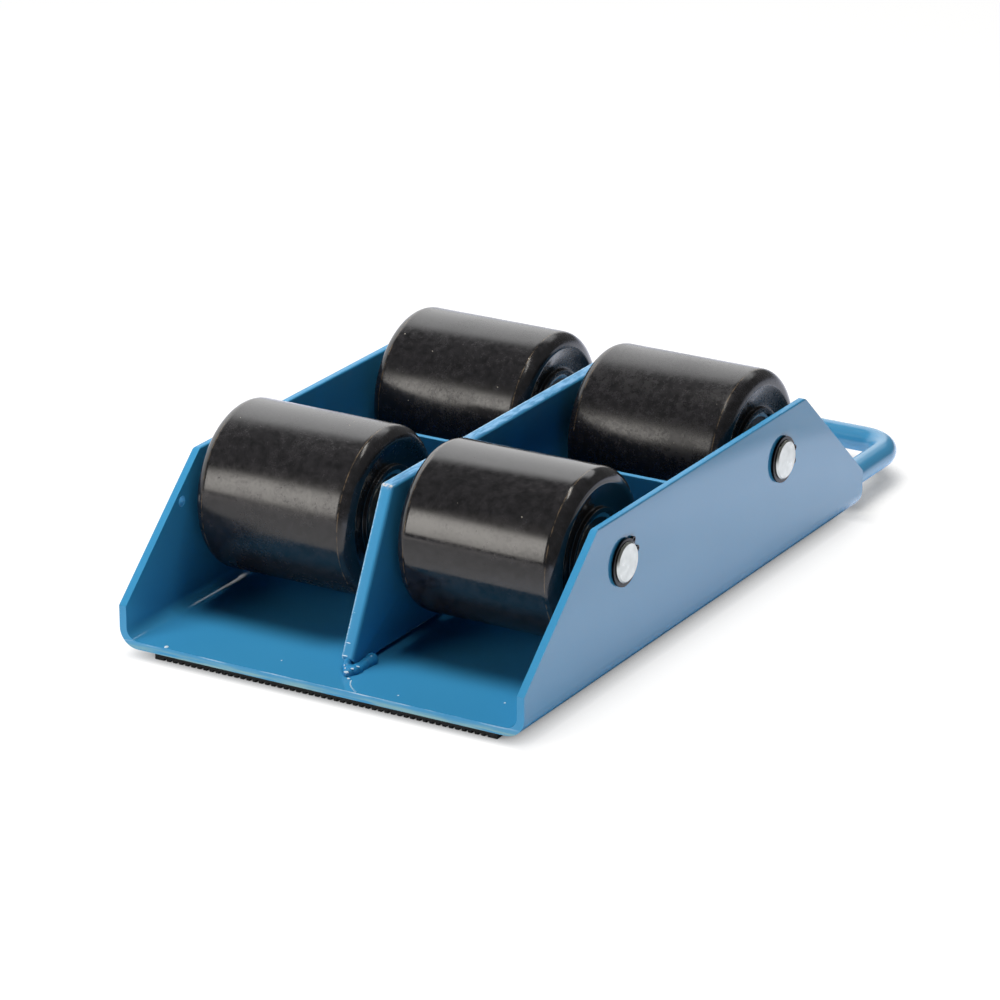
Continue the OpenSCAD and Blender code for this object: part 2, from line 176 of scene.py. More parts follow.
# White for the camera, a low soft fill for shading; gloss shows the front box and a pale sweep behind
backdropLook = {
    "backWay": (-0.5, 0.866, 0),
    "rightWay": (0.866, 0.5, 0),
    "room": 0.2,  # how light the room's own walls look in gloss
    "sweep": (1.25, 2.6),  # at the horizon and high up
    "sweepTop": 0.75,
    "sweepRise": (0.07, 0.4),
    "sweepSide": (0.12, 0.34),
    "sweepWiden": (0.5, 0.57, 0.4),  # from this height to that, it reaches so much further right
    "boxSide": (0.123, 0.167),
    "boxGain": 10.0,
    "boxGlow": ((0.02, 0.0), (0.05, 0.42), (0.14, 0.53), (0.28, 0.63), (0.38, 0.6), (0.46, 0.5), (0.52, 0.3),
                (0.58, 0.12), (0.67, 0.046), (0.9, 0.027)),
    "boxTone": "#FFFAF3",
    "boxFrom": 0.3,
    "fill": (0.6, 0.06),  # at the horizon and above fillTop
    "fillTop": 0.35,
    "fillRight": 0.12,
    "fillFade": 0.4,
}


def makeBackdrop(look):
    world = bpy.data.worlds.new("studio")
    scene.world = world
    world.use_nodes = True
    tree = world.node_tree
    tree.nodes.clear()
    direction = addNode(tree, "TexCoord").outputs["Generated"]
    parts = addNode(tree, "SeparateXYZ", (direction,))
    height = parts.outputs["Z"]

    # the sweep stands behind and to the left, and widens to the right high up
    away = addNode(tree, "VectorMath", (direction, look["backWay"]), operation="DOT_PRODUCT")
    right = addNode(tree, "VectorMath", (direction, look["rightWay"]), operation="DOT_PRODUCT")
    over = addNode(tree, "Math", (height, away.outputs["Value"]), operation="SUBTRACT")
    behind = addNode(tree, "MapRange", (over, *look["sweepRise"], 1.0, 0.0), interpolation_type="SMOOTHSTEP")
    start, end, more = look["sweepWiden"]
    widen = addNode(tree, "MapRange", (height, start, end, 0.0, -more))
    side = addNode(tree, "Math", (right.outputs["Value"], widen), operation="ADD")
    within = addNode(tree, "MapRange", (side, *look["sweepSide"], 1.0, 0.0), interpolation_type="SMOOTHSTEP")
    shine = addNode(tree, "MapRange", (height, 0.0, look["sweepTop"], *look["sweep"]))
    sweep = addNode(tree, "Math", (behind, within), operation="MULTIPLY")
    sweep = addNode(tree, "Math", (sweep, shine), operation="MULTIPLY")
    sweep = addNode(tree, "Math", (sweep, look["room"]), operation="MAXIMUM")

    # the front box is brightest in its middle and dark just above the floor
    front = addNode(tree, "VectorMath", (direction, frontWay), operation="DOT_PRODUCT").outputs["Value"]
    across = addNode(tree, "VectorMath", (direction, (frontWay.y, -frontWay.x, 0)), operation="DOT_PRODUCT")
    slope = addNode(tree, "Math", (height, front), operation="DIVIDE")
    offset = addNode(tree, "Math", (across.outputs["Value"], front), operation="DIVIDE")
    offset = addNode(tree, "Math", (offset,), operation="ABSOLUTE")
    inside = addNode(tree, "MapRange", (offset, *look["boxSide"], look["boxGain"], 0.0),
                     interpolation_type="SMOOTHSTEP")
    glow = addNode(tree, "ValToRGB", (slope,), stops=look["boxGlow"])
    box = addNode(tree, "Math", (glow, inside), operation="MULTIPLY")
    mirror = addNode(tree, "Math", (sweep, box), operation="MAXIMUM")

    # the soft fill comes from low down, and less from the right
    fill = addNode(tree, "MapRange", (height, 0.0, look["fillTop"], *look["fill"]))
    less = addNode(tree, "MapRange", (parts.outputs["X"], 0.0, look["fillFade"], 1.0, look["fillRight"]))
    fill = addNode(tree, "Math", (fill, less), operation="MULTIPLY")
    rays = addNode(tree, "LightPath").outputs
    mirrored = addNode(tree, "Math", (rays["Is Glossy Ray"], rays["Is Transmission Ray"]),
                       operation="MAXIMUM")
    seen = addNode(tree, "Mix", {0: mirrored, 2: fill, 3: mirror}, data_type="FLOAT")
    level = addNode(tree, "Math", (seen, rays["Is Camera Ray"]), operation="MAXIMUM")
    warm = addNode(tree, "Math", (box, look["boxFrom"]), operation="GREATER_THAN")
    warm = addNode(tree, "Math", (warm, mirrored), operation="MULTIPLY")
    tone = addNode(tree, "Mix", {0: warm, 6: "#FFFFFF", 7: look["boxTone"]}, data_type="RGBA").outputs[2]
    backdrop = addNode(tree, "Background", (tone, level))
    addNode(tree, "OutputWorld", (backdrop,))


# Matt white sheet, whose contact shadow is painted into its glow from ambient occlusion; gloss shows a bright
# band of it on the right
floorLook = {
    "size": 6.0,
    "drop": 0.02 * mm,
    "colour": "#E9E9EA",
    "shade": 0.2,  # grey level that the lamps shade for the camera
    "lift": 0.92,  # added to that, so that the sheet is white away from the shadow
    "bounce": 0.5,
    "contact": 38 * mm,
    "contactSpan": (0.1, 0.72),
    "contactLevel": 0.5,
    "crevice": 0.2,
    "creviceLevel": 0.04,
    "barSpan": (0.5, 0.86),  # under the tow bar, which stands clear of the floor, the painted shadow is made deeper, chosen by place
    "barLevel": 0.28,
    "barFrom": (0.165, 0.185),
    "mirrorSpan": (0.35, 0.85),
    "mirrorShift": 0.3,
    "mirrorGain": 2.0,
    "mirrorLift": ((0.15, 0.12), (0.45, 0.62), (0.52, 0.62), (0.57, 0.82), (0.62, 0.82), (0.66, 0.25),
                   (0.72, 0.05)),
    "mirrorBehind": (0.1, 0.2, 0.95),  # behind to the left it is as white as the backdrop
    "mirrorTone": "#E2E8FF",
}


def makeFloor(look):
    mesh = bmesh.new()
    bmesh.ops.create_grid(mesh, x_segments=1, y_segments=1, size=look["size"],
                          matrix=Matrix.Translation((0, 0, -look["drop"])))
    data = bpy.data.meshes.new("floor")
    mesh.to_mesh(data)
    mesh.free()
    floor = bpy.data.objects.new("floor", data)
    scene.collection.objects.link(floor)
    material, tree, place = newMaterial("whiteStudioSheet")
    rays = addNode(tree, "LightPath").outputs
    # the contact shadow is painted: ambient occlusion dims the glow that the camera sees
    nearby = addNode(tree, "AmbientOcclusion", {"Distance": look["contact"]}, samples=16).outputs["AO"]
    spot = addNode(tree, "SeparateXYZ", (place,)).outputs
    clear = addNode(tree, "MapRange", (nearby, *look["contactSpan"], look["contactLevel"], 1.0),
                    interpolation_type="SMOOTHSTEP")
    under = addNode(tree, "MapRange", (nearby, *look["barSpan"], look["barLevel"], 1.0),
                    interpolation_type="SMOOTHSTEP")
    atBar = addNode(tree, "MapRange", (spot["Y"], *look["barFrom"]))
    clear = addNode(tree, "Mix", {0: atBar, 2: clear, 3: under}, data_type="FLOAT")
    deep = addNode(tree, "MapRange", (nearby, 0.0, look["crevice"], look["creviceLevel"]))
    clear = addNode(tree, "Math", (clear, deep), operation="MULTIPLY")
    straight = addNode(tree, "Math", (clear, look["lift"]), operation="MULTIPLY")

    # what gloss and bounced light get from the sheet, dimmed near the object by the same ambient occlusion as
    # painted shade
    free = addNode(tree, "MapRange", (nearby, *look["mirrorSpan"]))
    aside = addNode(tree, "Math", (spot["Y"], 0.5, spot["X"]), operation="MULTIPLY_ADD")
    aside = addNode(tree, "Math", (aside, look["mirrorShift"]), operation="ADD")
    band = addNode(tree, "ValToRGB", (aside,), stops=look["mirrorLift"])
    band = addNode(tree, "Math", (band, look["mirrorGain"]), operation="MULTIPLY")
    behind = addNode(tree, "Math", (spot["X"], -0.5, spot["Y"]), operation="MULTIPLY_ADD")
    start, end, level = look["mirrorBehind"]
    far = addNode(tree, "MapRange", (behind, start, end, 0.0, level))
    rise = addNode(tree, "Math", (band, far), operation="MAXIMUM")
    others = addNode(tree, "Mix", {0: rays["Is Glossy Ray"], 2: look["bounce"], 3: rise}, data_type="FLOAT")
    others = addNode(tree, "Math", (others, free), operation="MULTIPLY")
    lift = addNode(tree, "Mix", {0: rays["Is Camera Ray"], 2: others, 3: straight}, data_type="FLOAT")
    tone = addNode(tree, "Mix", {0: rays["Is Glossy Ray"], 6: "#FFFFFF", 7: look["mirrorTone"]},
                   data_type="RGBA").outputs[2]
    shade = (look["shade"], look["shade"], look["shade"], 1)
    colour = addNode(tree, "Mix", {0: rays["Is Camera Ray"], 6: look["colour"], 7: shade},
                     data_type="RGBA").outputs[2]
    sheet = addNode(tree, "BsdfDiffuse", (colour,))
    glow = addNode(tree, "Emission", (tone, lift))
    both = addNode(tree, "AddShader", (sheet, glow))
    addNode(tree, "OutputMaterial", (both,))
    data.materials.append(material)


makeCamera(cameraLook)
makeLamps(lampLook)
makeBackdrop(backdropLook)
makeFloor(floorLook)
print("camera, lamps and floor are in place")


# Shaping helpers
def newPiece(mesh, name, materials, body, nodes, sharp=None):
    # the finished mesh becomes a piece that rides on a body and stands for CAD nodes
    bmesh.ops.recalc_face_normals(mesh, faces=mesh.faces)
    for face in mesh.faces:
        face.smooth = True
    for edge in mesh.edges:
        flat = sharp is None or not edge.is_manifold
        edge.smooth = flat or edge.calc_face_angle(0) < math.radians(sharp)
    data = bpy.data.meshes.new(name)
    mesh.to_mesh(data)
    mesh.free()
    for material in materials:
        data.materials.append(material)
    piece = bpy.data.objects.new(name, data)
    scene.collection.objects.link(piece)
    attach(piece, body)
    if nodes:
        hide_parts(*nodes)
    return piece


def roundEdges(piece, width, angle=30):
    rounding = piece.modifiers.new("roundEdges", "BEVEL")
    rounding.width = width
    rounding.segments = 2
    rounding.limit_method = "ANGLE"
    rounding.angle_limit = math.radians(angle)
    rounding.harden_normals = True


def copyOfNode(node):
    # the node's loose triangles merged into clean faces, ready for rounded edges
    mesh = bmesh.new()
    mesh.from_mesh(frame["nodes"][node].data)
    bmesh.ops.remove_doubles(mesh, verts=mesh.verts, dist=0.002 * mm)
    bmesh.ops.dissolve_limit(mesh, angle_limit=math.radians(0.6), verts=mesh.verts, edges=mesh.edges)
    return mesh


def spinRound(mesh, centre, steps):
    # full turn about an axle's own line
    bmesh.ops.spin(mesh, geom=mesh.verts[:] + mesh.edges[:], cent=centre, axis=(1, 0, 0), angle=2 * math.pi,
                   steps=steps, use_merge=True)
    bmesh.ops.remove_doubles(mesh, verts=mesh.verts, dist=0.001 * mm)


def outlineOf(mesh, points, closed):
    verts = [mesh.verts.new(point) for point in points]
    for first, second in zip(verts, verts[1:]):
        mesh.edges.new((first, second))
    if closed:
        mesh.edges.new((verts[-1], verts[0]))


def roundLoops(mesh, centre, place, radius, size, segments):
    # bevels the ring of edges that lies at one place along the axle and one radius
    ring = []
    for edge in mesh.edges:
        level = all(abs(v.co.x - place) < 0.02 * mm for v in edge.verts)
        if level and all(abs((v.co - centre).yz.length - radius) < 0.05 * mm for v in edge.verts):
            ring.append(edge)
    bmesh.ops.bevel(mesh, geom=ring, offset=size, segments=segments, affect="EDGES", profile=0.5,
                    material=-1)


def bevelWhere(mesh, isChosen, size, segments):
    edges = []
    for edge in mesh.edges:
        if edge.calc_face_angle(0) > 0.4 and all(isChosen(v.co) for v in edge.verts):
            edges.append(edge)
    bmesh.ops.bevel(mesh, geom=edges, offset=size, segments=segments, affect="EDGES", profile=0.5,
                    material=-1)


# Sprayed alkyd enamel over steel sheet: a wet, even gloss with faint orange peel and slow cloudiness
enamelLook = {
    "colour": "#3A8BBB",
    "deepColour": "#3283B4",
    "cloudSize": 70 * mm,
    "peelSize": 1.8 * mm,
    "peelDepth": 0.005 * mm,
    "gloss": (0.06, 0.14),
}

# Enamel over a weld bead: it pools and shines more than on the flat sheet
weldEnamelLook = {
    "colour": "#2F87BC",
    "deepColour": "#257BB0",
    "cloudSize": 6 * mm,
    "peelSize": 1.2 * mm,
    "peelDepth": 0.01 * mm,
    "gloss": (0.06, 0.16),
}

# Enamel on the drawn bar: a thicker, softer coat
barEnamelLook = dict(enamelLook, colour="#4A9ACB", deepColour="#4192C4", gloss=(0.13, 0.22))

# Nibs and runs of thin enamel, paler than the sheet; the same pale enamel on the weld is painted highlight,
# standing in for its glints
nibAndGlintEnamelLook = dict(weldEnamelLook, colour="#B9D6E8", deepColour="#DCEAF4", gloss=(0.1, 0.2))

# The same enamel where it lies thin on sheared or torch-cut edges: duller, scuffed pale and dark, with
# painted highlights along some arrises
cutEdgeLook = {
    "colour": "#3E8FC0",
    "deepColour": "#3486B6",
    "cloudSize": 16 * mm,
    "markSize": 0.9 * mm,
    "markDepth": 0.012 * mm,
    "gloss": (0.34, 0.5),
    "dashSize": 1.2 * mm,
    "dashStretch": (0.06, 0.3, 1.0),
    "paleColour": "#9DBBA6",
    "paleShare": 0.5,
    # painted highlight: pale dashes along the front edge's upper arris
    "dashColour": "#C9DDEB",
    "scuffSize": 1.6 * mm,
    "scuffStretch": (1.0, 0.22, 0.22),
    "scuffColour": "#94BAE2",
    "scuffDark": "#2A6796",
    # painted highlight along the divider's front left arris
    "arrisColour": "#B4D6EE",
    "chipSize": (3.9 * mm, 4.5 * mm),
    "chipRagged": 7 * mm,
    "chipColour": "#D6D2D0",
}

# Cast black nylon, turned on a lathe: faint lines round the tread, a fine grain in the gloss, pale dust
# and small pits; each roller is rubbed to its own gloss
nylonLook = {
    "mottleTones": ("#0F0F11", "#222124"),
    "dustColour": "#B9B4A8",
    # the line round the shoulders is partly a mould seam and partly a painted highlight
    "seamAndHighlightColour": "#6A5A45",
    "seamAndHighlightIn": 5.6 * mm,
    "seamAndHighlightWidth": 0.35 * mm,
    "lineSize": 0.3 * mm,
    "lineDepth": 0.003 * mm,
    "mottleSize": 4 * mm,
    "grainSize": 1.3 * mm,
    "patchSize": 22 * mm,
    "speckSize": 6 * mm,
    "pitSize": 2.4 * mm,
    "gloss": {"front_left": (0.14, 0.24), "front_right": (0.08, 0.15), "rear_left": (0.14, 0.26),
              "rear_right": (0.18, 0.29)},
    "index": {"front_left": 1.53, "front_right": 1.53, "rear_left": 1.48, "rear_right": 1.45},
}

# Metals: dull zinc plate on turned bar, blackened spring steel, ground bearing rings, a brass-toned cage
metalLooks = {
    "zincPlatedTurnedSteel": {"colour": "#B2B3AC", "tint": "#A4A69F", "gloss": (0.26, 0.42),
                              "cloud": 3.5 * mm, "turning": 0.01 * mm},
    "blackenedSpringSteel": {"colour": "#110F0F", "tint": "#1B1816", "gloss": (0.25, 0.4),
                             "cloud": 1.5 * mm, "turning": 0.004 * mm},
    "groundBearingSteel": {"colour": "#BFC2C5", "tint": "#A9ADB1", "gloss": (0.12, 0.25),
                           "cloud": 5 * mm, "turning": 0.003 * mm},
    "pressedCageSteel": {"colour": "#A89C7C", "tint": "#94886A", "gloss": (0.3, 0.45),
                         "cloud": 3 * mm, "turning": 0.006 * mm},
}

# Rubbers: calendered ribbed mat with a dry, matt skin, and moulded bearing seals with a softer sheen
rubberLooks = {
    "calenderedRibbedRubber": {"colour": "#0C0C0C", "tint": "#131413", "gloss": (0.6, 0.8),
                               "grain": 0.5 * mm, "depth": 0.03 * mm},
    "mouldedSealRubber": {"colour": "#141414", "tint": "#1F1F20", "gloss": (0.38, 0.55),
                          "grain": 0.3 * mm, "depth": 0.008 * mm},
}
noiseSpan = (0.3, 0.7)  # nearly all of a noise pattern's values
turnedLine = 0.25 * mm  # feed of the lathe on the bars


def axleCoordinates(tree, place):
    # distance along the axles and distance from the nearer one, both in metres
    spot = addNode(tree, "SeparateXYZ", (place,)).outputs
    ahead = addNode(tree, "Math", (spot["Y"],), operation="ABSOLUTE")
    ahead = addNode(tree, "Math", (ahead, axleY), operation="SUBTRACT")
    height = addNode(tree, "Math", (spot["Z"], axleZ), operation="SUBTRACT")
    flat = addNode(tree, "CombineXYZ", {"Y": ahead, "Z": height})
    radius = addNode(tree, "VectorMath", (flat,), operation="LENGTH").outputs["Value"]
    return addNode(tree, "CombineXYZ", {"X": spot["X"], "Y": radius})


def makeEnamel(name, look):
    material, tree, place = newMaterial(name)
    cloud = addNode(tree, "TexNoise", {"Vector": place, "Scale": 1 / look["cloudSize"], "Detail": 3.0})
    peel = addNode(tree, "TexNoise", {"Vector": place, "Scale": 1 / look["peelSize"], "Detail": 1.0})
    colour = addNode(tree, "Mix", {0: cloud, 6: look["colour"], 7: look["deepColour"]},
                     data_type="RGBA").outputs[2]
    gloss = addNode(tree, "MapRange", (cloud, *noiseSpan, *look["gloss"]))
    wave = addNode(tree, "Bump", {"Strength": 1.0, "Distance": look["peelDepth"], "Height": peel})
    return coverWith(material, {"Base Color": colour, "Roughness": gloss, "IOR": 1.5, "Normal": wave})


def tintAndHighlightFrontEdge(tree, look, place, marks, colour):
    # a pale greenish tint in streaks over the lower half, and pale dashes along the upper arris that are a
    # painted, broken highlight
    height = addNode(tree, "SeparateXYZ", (place,)).outputs["Z"]
    along = addNode(tree, "Mapping", {"Vector": place, "Scale": look["dashStretch"]})
    streaks = addNode(tree, "TexNoise", {"Vector": along, "Scale": 1 / look["dashSize"], "Detail": 3.0})
    base = channelLow.z
    lower = addNode(tree, "MapRange", (height, base + 1.2 * mm, base + 3.2 * mm, 1.0, 0.0))
    greenStreaks = addNode(tree, "MapRange", (streaks, 0.35, 0.6, 0.0, look["paleShare"]))
    greenStreaks = addNode(tree, "Math", (greenStreaks, lower), operation="MULTIPLY")
    colour = addNode(tree, "Mix", {0: greenStreaks, 6: colour, 7: look["paleColour"]}, data_type="RGBA").outputs[2]
    above = addNode(tree, "MapRange", (height, base + 3.0 * mm, base + 3.7 * mm, 0.0, 1.0))
    below = addNode(tree, "MapRange", (height, base + 4.0 * mm, base + 4.3 * mm, 1.0, 0.0))
    upper = addNode(tree, "Math", (above, below), operation="MULTIPLY")
    dashHighlight = addNode(tree, "MapRange", (streaks, 0.52, 0.7, 0.0, 0.7))
    dashHighlight = addNode(tree, "Math", (dashHighlight, upper), operation="MULTIPLY")
    return addNode(tree, "Mix", {0: dashHighlight, 6: colour, 7: look["dashColour"]}, data_type="RGBA").outputs[2]


def scuffsAndArrisHighlight(tree, look, place, marks, colour):
    # pale and dark scuffs along the top edge, and a painted highlight on the front edge's left arris
    spot = addNode(tree, "SeparateXYZ", (place,)).outputs
    along = addNode(tree, "Mapping", {"Vector": place, "Scale": look["scuffStretch"]})
    streaks = addNode(tree, "TexNoise", {"Vector": along, "Scale": 1 / look["scuffSize"], "Detail": 4.0})
    top = addNode(tree, "MapRange", (spot["Z"], dividerHigh.z - 2.5 * mm, dividerHigh.z - 0.6 * mm, 0.0, 1.0))
    pale = addNode(tree, "MapRange", (streaks, 0.44, 0.62, 0.0, 0.5))
    pale = addNode(tree, "Math", (pale, top), operation="MULTIPLY")
    dark = addNode(tree, "MapRange", (streaks, 0.36, 0.5, 0.7, 0.1))
    dark = addNode(tree, "Math", (dark, top), operation="MULTIPLY")
    colour = addNode(tree, "Mix", {0: pale, 6: colour, 7: look["scuffColour"]}, data_type="RGBA").outputs[2]
    colour = addNode(tree, "Mix", {0: dark, 6: colour, 7: look["scuffDark"]}, data_type="RGBA").outputs[2]
    # bare primer at its front corner
    flat = addNode(tree, "CombineXYZ", {"Y": spot["Y"], "Z": spot["Z"]})
    corner = addNode(tree, "VectorMath", (flat, (0, dividerTopY, dividerHigh.z)), operation="DISTANCE")
    corner = corner.outputs["Value"]
    ragged = addNode(tree, "Math", (marks, look["chipRagged"], corner), operation="MULTIPLY_ADD")
    chip = addNode(tree, "MapRange", (ragged, *look["chipSize"], 0.9, 0.0))
    colour = addNode(tree, "Mix", {0: chip, 6: colour, 7: look["chipColour"]}, data_type="RGBA").outputs[2]
    # a painted highlight along the left arris of the front edge, broken up by the marks
    arrisHighlight = addNode(tree, "MapRange", (spot["X"], dividerLow.x + 0.4 * mm, dividerLow.x + 1.1 * mm, 0.8, 0.0))
    broken = addNode(tree, "MapRange", (marks, 0.4, 0.6, 0.2, 1.0))
    line = addNode(tree, "Math", (arrisHighlight, broken), operation="MULTIPLY")
    return addNode(tree, "Mix", {0: line, 6: colour, 7: look["arrisColour"]}, data_type="RGBA").outputs[2]


def makeCutEnamel(name, look, wear=None):
    material, tree, place = newMaterial(name)
    cloud = addNode(tree, "TexNoise", {"Vector": place, "Scale": 1 / look["cloudSize"], "Detail": 4.0})
    marks = addNode(tree, "TexNoise", {"Vector": place, "Scale": 1 / look["markSize"], "Detail": 3.0})
    colour = addNode(tree, "Mix", {0: cloud, 6: look["colour"], 7: look["deepColour"]},
                     data_type="RGBA").outputs[2]
    if wear:
        colour = wear(tree, look, place, marks, colour)
    gloss = addNode(tree, "MapRange", (marks, *noiseSpan, *look["gloss"]))
    bump = addNode(tree, "Bump", {"Strength": 1.0, "Distance": look["markDepth"], "Height": marks})
    return coverWith(material, {"Base Color": colour, "Roughness": gloss, "IOR": 1.5,
                                "Specular IOR Level": 0.28, "Normal": bump})


def makeNylon(name, look, gloss, index, middle, half):
    material, tree, place = newMaterial(name)
    lathe = axleCoordinates(tree, place)
    lines = addNode(tree, "TexNoise", {"Vector": lathe, "Scale": 1 / look["lineSize"], "Detail": 3.0})
    mottle = addNode(tree, "TexNoise", {"Vector": place, "Scale": 1 / look["mottleSize"], "Detail": 6.0,
                                        "Roughness": 0.62})
    grain = addNode(tree, "TexNoise", {"Vector": place, "Scale": 1 / look["grainSize"], "Detail": 2.0})
    patches = addNode(tree, "TexNoise", {"Vector": place, "Scale": 1 / look["patchSize"], "Detail": 2.0})

    # a few cells carry a pale speck of dust, a few smaller ones a pit
    cells = addNode(tree, "TexVoronoi", {"Vector": place, "Scale": 1 / look["speckSize"]})
    chosen = addNode(tree, "Math", (cells.outputs["Color"], 0.6), operation="GREATER_THAN")
    specks = addNode(tree, "MapRange", (cells, 0.03, 0.06, 0.8, 0.0))
    specks = addNode(tree, "Math", (specks, chosen), operation="MULTIPLY")
    dots = addNode(tree, "TexVoronoi", {"Vector": place, "Scale": 1 / look["pitSize"]})
    chosen = addNode(tree, "Math", (dots.outputs["Color"], 0.82), operation="GREATER_THAN")
    pits = addNode(tree, "MapRange", (dots, 0.05, 0.14, 0.5, 0.0))
    pits = addNode(tree, "Math", (pits, chosen), operation="MULTIPLY")

    worn = addNode(tree, "Math", (mottle, patches), operation="ADD")
    rough = addNode(tree, "MapRange", (worn, 0.8, 1.2, *gloss))
    dull = addNode(tree, "MapRange", (grain, 0.42, 0.7, 0.0, 0.08))
    rough = addNode(tree, "Math", (rough, dull), operation="ADD")
    rough = addNode(tree, "Math", (rough, pits), operation="ADD")
    rough = addNode(tree, "Math", (specks, 0.5, rough), operation="MULTIPLY_ADD")

    # a thin brownish line painted round both shoulders: partly a mould seam, partly a painted highlight along
    # the shoulder's edge, broken by the mottle
    along = addNode(tree, "SeparateXYZ", (place,)).outputs["X"]
    offset = addNode(tree, "Math", (along, middle), operation="SUBTRACT")
    offset = addNode(tree, "Math", (offset,), operation="ABSOLUTE")
    offset = addNode(tree, "Math", (offset, half - look["seamAndHighlightIn"]), operation="SUBTRACT")
    offset = addNode(tree, "Math", (offset,), operation="ABSOLUTE")
    line = addNode(tree, "MapRange", (offset, look["seamAndHighlightWidth"] * 0.4, look["seamAndHighlightWidth"], 0.7, 0.0))
    broken = addNode(tree, "MapRange", (mottle, 0.42, 0.6, 0.0, 1.0))
    seamAndHighlight = addNode(tree, "Math", (line, broken), operation="MULTIPLY")
    dark, pale = look["mottleTones"]
    blotch = addNode(tree, "MapRange", (mottle, 0.35, 0.65, 0.0, 1.0))
    colour = addNode(tree, "Mix", {0: blotch, 6: dark, 7: pale}, data_type="RGBA").outputs[2]
    colour = addNode(tree, "Mix", {0: seamAndHighlight, 6: colour, 7: look["seamAndHighlightColour"]}, data_type="RGBA").outputs[2]
    colour = addNode(tree, "Mix", {0: specks, 6: colour, 7: look["dustColour"]}, data_type="RGBA").outputs[2]
    bump = addNode(tree, "Bump", {"Strength": 1.0, "Distance": look["lineDepth"], "Height": lines})
    bump = addNode(tree, "Bump", {"Strength": 0.6, "Distance": look["lineDepth"] * 1.5, "Height": mottle,
                                  "Normal": bump})
    return coverWith(material, {"Base Color": colour, "Roughness": rough, "IOR": index, "Normal": bump})


def makeMetal(name, look):
    material, tree, place = newMaterial(name)
    lathe = axleCoordinates(tree, place)
    lines = addNode(tree, "TexNoise", {"Vector": lathe, "Scale": 1 / turnedLine, "Detail": 2.0})
    cloud = addNode(tree, "TexNoise", {"Vector": place, "Scale": 1 / look["cloud"], "Detail": 5.0})
    colour = addNode(tree, "Mix", {0: cloud, 6: look["colour"], 7: look["tint"]}, data_type="RGBA").outputs[2]
    gloss = addNode(tree, "MapRange", (cloud, *noiseSpan, *look["gloss"]))
    bump = addNode(tree, "Bump", {"Strength": 1.0, "Distance": look["turning"], "Height": lines})
    return coverWith(material, {"Base Color": colour, "Metallic": 1.0, "Roughness": gloss, "Normal": bump})


def makeRubber(name, look):
    material, tree, place = newMaterial(name)
    grain = addNode(tree, "TexNoise", {"Vector": place, "Scale": 1 / look["grain"], "Detail": 4.0})
    cloud = addNode(tree, "TexNoise", {"Vector": place, "Scale": 1 / (12 * mm), "Detail": 4.0})
    colour = addNode(tree, "Mix", {0: cloud, 6: look["colour"], 7: look["tint"]}, data_type="RGBA").outputs[2]
    gloss = addNode(tree, "MapRange", (cloud, *noiseSpan, *look["gloss"]))
    bump = addNode(tree, "Bump", {"Strength": 1.0, "Distance": look["depth"], "Height": grain})
    return coverWith(material, {"Base Color": colour, "Roughness": gloss, "IOR": 1.5, "Normal": bump})


axleLow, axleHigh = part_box("rear_axle")
axleY, axleZ = (axleLow.y + axleHigh.y) / 2, (axleLow.z + axleHigh.z) / 2
channelLow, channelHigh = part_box("channel_plate")
dividerLow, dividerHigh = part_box("divider_plate")
dividerVerts = frame["nodes"]["divider_plate"].data.vertices
dividerTopY = min(v.co.y for v in dividerVerts if v.co.z > dividerHigh.z - mm)
enamel = makeEnamel("alkydEnamelOnSheet", enamelLook)
barEnamel = makeEnamel("enamelOnRoundBar", barEnamelLook)
cutEnamel = makeCutEnamel("enamelOnCutEdge", cutEdgeLook)
# front edge enamel: greenish streaks and a painted arris highlight
tintedHighlightEnamel = makeCutEnamel("enamelOnFrontEdgeWithPaintedHighlight", cutEdgeLook, tintAndHighlightFrontEdge)
# divider edge enamel: real scuffs and chip, and a painted arris highlight
scuffedAndHighlightedEnamel = makeCutEnamel("enamelOnTorchCutEdge", cutEdgeLook, scuffsAndArrisHighlight)
weldEnamel = makeEnamel("enamelPooledOnWeld", weldEnamelLook)
# pale enamel for the nibs and runs, also used for the weld's painted glints
nibAndGlintEnamel = makeEnamel("paleEnamelNibsAndPaintedWeldGlints", nibAndGlintEnamelLook)
nylon = {}
for name in rollerNames:
    low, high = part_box(name + "_roller")
    middle, half = (low.x + high.x) / 2, (high.x - low.x) / 2
    gloss, index = nylonLook["gloss"][name], nylonLook["index"][name]
    nylon[name] = makeNylon(name + "TurnedNylon", nylonLook, gloss, index, middle, half)
zinc, springSteel, bearingSteel, cageSteel = [makeMetal(name, look) for name, look in metalLooks.items()]
padRubber, sealRubber = [makeRubber(name, look) for name, look in rubberLooks.items()]
print("materials are made")

# The folded channel: dull cut edges, a front edge with greenish streaks and a painted arris highlight, and
# the flanges' top edges ground round
channelLook = {"sheet": 4 * mm, "edge": 0.5 * mm, "topEdge": 1.3 * mm, "topSegments": 5}
floorZ = channelLow.z + channelLook["sheet"]
mesh = copyOfNode("channel_plate")
for face in mesh.faces:
    onFloor = abs(face.normal.z) > 0.9 and face.calc_center_median().z < floorZ + 3 * mm
    if face.normal.y < -0.99:
        face.material_index = 2
    elif abs(face.normal.x) < 0.01 and not onFloor:
        face.material_index = 1
bevelWhere(mesh, lambda spot: spot.z > channelHigh.z - 0.01 * mm, channelLook["topEdge"],
           channelLook["topSegments"])
channel = newPiece(mesh, "foldedChannel", (enamel, cutEnamel, tintedHighlightEnamel), "frame", ("channel_plate",),
                   30)
roundEdges(channel, channelLook["edge"])

